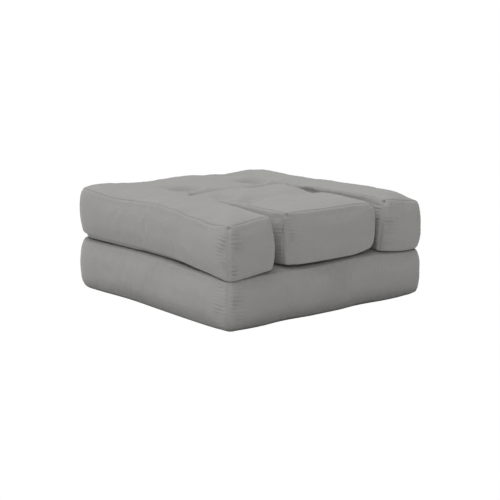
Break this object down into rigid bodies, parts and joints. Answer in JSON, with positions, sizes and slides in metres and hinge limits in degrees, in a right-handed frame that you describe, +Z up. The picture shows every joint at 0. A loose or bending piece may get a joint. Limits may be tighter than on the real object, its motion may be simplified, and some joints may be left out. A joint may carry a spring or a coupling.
{
  "type": "chair bed",
  "caption": "Soft futon chair bed stacked as a pouf; the centre flap folds up as a backrest and the upper mattress folds over to the rear as a bed.",
  "frame": {"origin": "centre of the footprint on the floor, below the stacked chair bed", "axes": "+X along the front, +Y from the front to the rear hinge edge, +Z up"},
  "size_m": [0.9, 0.95, 0.3758],
  "materials": {
    "cover_cloth": "matte",
    "wadding_felt": "matte",
    "core_foam": "matte",
    "tie_cord": "matte",
    "strip_cloth": "matte"
  },
  "bodies": {
    "base": {"base_top_panel": "cover_cloth", "base_border": "cover_cloth", "base_bottom_panel": "cover_cloth", "base_top_wadding": "wadding_felt", "base_bottom_wadding": "wadding_felt", "base_foam_core": "core_foam", "base_tuft_ties": "tie_cord", "rear_strip_base_leaf": "strip_cloth"},
    "upper": {"upper_top_panel": "cover_cloth", "upper_border": "cover_cloth", "upper_bottom_panel": "cover_cloth", "upper_top_wadding": "wadding_felt", "upper_bottom_wadding": "wadding_felt", "upper_tuft_ties": "tie_cord", "left_arm_core": "core_foam", "right_arm_core": "core_foam", "rear_core": "core_foam", "rear_strip_upper_leaf": "strip_cloth", "fold_strip_rear_leaf": "strip_cloth"},
    "backrest": {"backrest_top_panel": "cover_cloth", "backrest_border": "cover_cloth", "backrest_bottom_panel": "cover_cloth", "backrest_top_wadding": "wadding_felt", "backrest_bottom_wadding": "wadding_felt", "backrest_foam_core": "core_foam", "backrest_tuft_ties": "tie_cord", "fold_strip_backrest_leaf": "strip_cloth"}
  },
  "joints": [
    {"name": "upper_fold", "type": "hinge", "parent": "base", "child": "upper", "pos_m": [0, 0.47515, 0.188], "axis": [-1, 0, 0], "range_deg": [0, 180]},
    {"name": "backrest_fold", "type": "hinge", "parent": "upper", "child": "backrest", "pos_m": [0, 0.055, 0.35985], "axis": [-1, 0, 0], "range_deg": [0, 105]}
  ]
}
